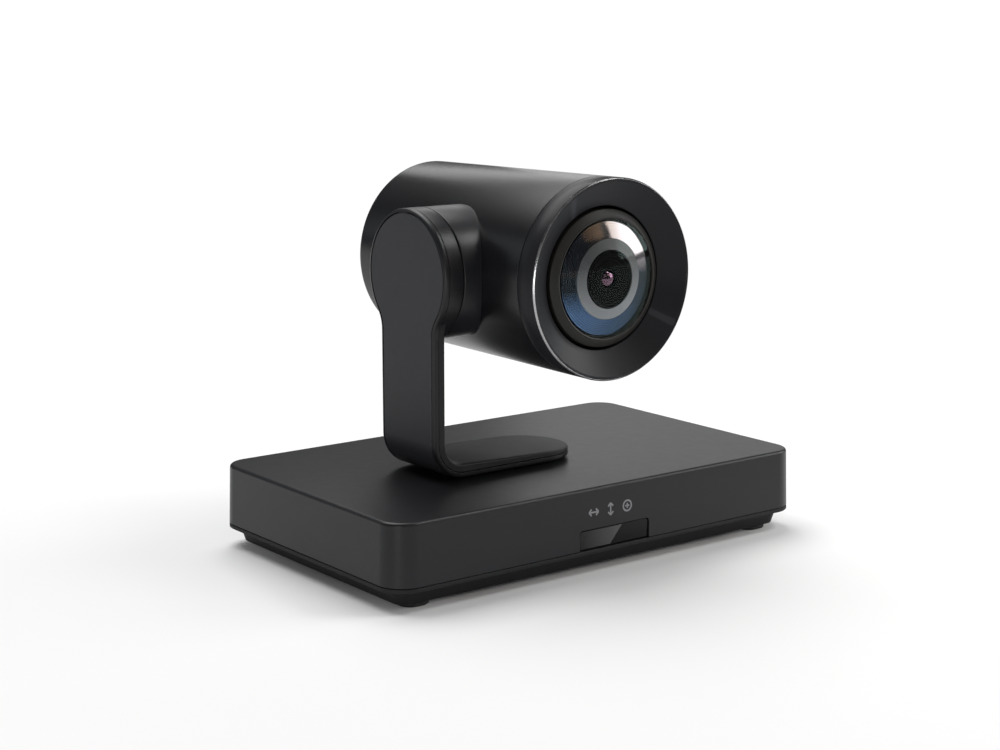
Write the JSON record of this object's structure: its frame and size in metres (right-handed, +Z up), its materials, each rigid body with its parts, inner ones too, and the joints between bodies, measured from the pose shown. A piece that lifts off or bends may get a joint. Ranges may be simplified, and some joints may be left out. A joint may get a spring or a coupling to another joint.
{
  "type": "ptz camera",
  "caption": "Desktop pan-tilt-zoom conference camera: low rounded base, L-shaped arm that pans, and a barrel head with a large lens that tilts.",
  "frame": {"origin": "centre of the base's footprint, on the surface it stands on", "axes": "+Z up, the lens looks along -Y, +X to the right seen from behind the camera; the arm is on the -X side"},
  "size_m": [0.24, 0.1484, 0.1788],
  "materials": {
    "housing_black": "fine-textured satin black moulding",
    "cover_black": "satin charcoal cover plate",
    "plate_black": "matt black powder coat",
    "foot_rubber": "matt black rubber",
    "smoked_window": "glossy smoked infrared window",
    "circuit_board": "green solder mask",
    "chip_black": "black moulded epoxy",
    "lamp_clear": "clear lamp",
    "bare_aluminium": "machined aluminium",
    "plated_steel": "nickel-plated steel",
    "bare_brass": "machined brass",
    "white_acetal": "natural white acetal",
    "bezel_black": "satin black ring with fine turned grooves",
    "lens_black": "black anodised lens barrel",
    "coated_glass": "multi-coated optical glass",
    "ribbon_amber": "amber flexible circuit"
  },
  "bodies": {
    "base": {"base_housing": "housing_black", "base_plate": "plate_black", "foot_strip_left": "foot_rubber", "foot_strip_right": "foot_rubber", "ir_window": "smoked_window", "ir_board": "circuit_board", "ir_receiver": "chip_black", "status_led": "lamp_clear", "main_board": "circuit_board", "heat_sink": "bare_aluminium", "dc_jack": "chip_black", "usb_port": "plated_steel", "hdmi_port": "plated_steel", "lan_port": "plated_steel", "serial_port": "chip_black", "pan_deck": "plated_steel", "pan_bush": "white_acetal", "pan_motor": "plated_steel", "tripod_insert": "bare_brass", "case_screw_1": "plated_steel", "case_screw_2": "plated_steel", "case_screw_3": "plated_steel", "case_screw_4": "plated_steel"},
    "pan_motor_pinion": {"pan_pinion": "bare_brass"},
    "arm": {"pan_shaft": "bare_aluminium", "pan_gear": "white_acetal", "arm_shell": "housing_black", "arm_cover": "cover_black", "arm_frame": "housing_black", "arm_ribbon_cable": "ribbon_amber", "tilt_shaft": "plated_steel", "tilt_gear": "white_acetal"},
    "head": {"head_shell": "housing_black", "rear_cap": "housing_black", "tilt_hub": "housing_black", "front_bezel": "bezel_black", "lens_front_cell": "lens_black", "front_glass": "coated_glass", "lens_baffle": "lens_black", "second_lens": "coated_glass", "lens_housing": "lens_black", "guide_rod_left": "plated_steel", "guide_rod_right": "plated_steel", "zoom_drive_coil": "bare_brass", "focus_drive_coil": "bare_brass", "ir_cut_filter": "coated_glass", "image_sensor": "chip_black", "sensor_board": "circuit_board", "head_board": "circuit_board", "tilt_bush": "white_acetal", "tilt_motor": "plated_steel"},
    "tilt_motor_pinion": {"tilt_pinion": "bare_brass"},
    "zoom_group": {"zoom_carrier": "lens_black", "zoom_lens": "coated_glass"},
    "focus_group": {"focus_carrier": "lens_black", "focus_lens": "coated_glass"}
  },
  "joints": [
    {"name": "pan", "type": "hinge", "parent": "base", "child": "arm", "pos_m": [0, -0.005, 0.04], "axis": [0, 0, 1], "range_deg": [-100, 100]},
    {"name": "tilt", "type": "hinge", "parent": "arm", "child": "head", "pos_m": [-0.045, -0.005, 0.1332], "axis": [1, 0, 0], "range_deg": [-30, 30]},
    {"name": "pan_pinion_spin", "type": "hinge", "parent": "base", "child": "pan_motor_pinion", "pos_m": [0.031, -0.005, 0.027], "axis": [0, 0, 1], "range_deg": [-345, 345]},
    {"name": "tilt_pinion_spin", "type": "hinge", "parent": "head", "child": "tilt_motor_pinion", "pos_m": [-0.035, 0.02, 0.1332], "axis": [1, 0, 0], "range_deg": [-80, 80]},
    {"name": "zoom", "type": "slide", "parent": "head", "child": "zoom_group", "axis": [0, 1, 0], "range_m": [0, 0.022]},
    {"name": "focus", "type": "slide", "parent": "head", "child": "focus_group", "axis": [0, 1, 0], "range_m": [0, 0.006]}
  ],
  "couplings": [
    {"joint": "pan_pinion_spin", "follows": "pan", "ratio": -3.4286},
    {"joint": "tilt_pinion_spin", "follows": "tilt", "ratio": 2.5714}
  ]
}
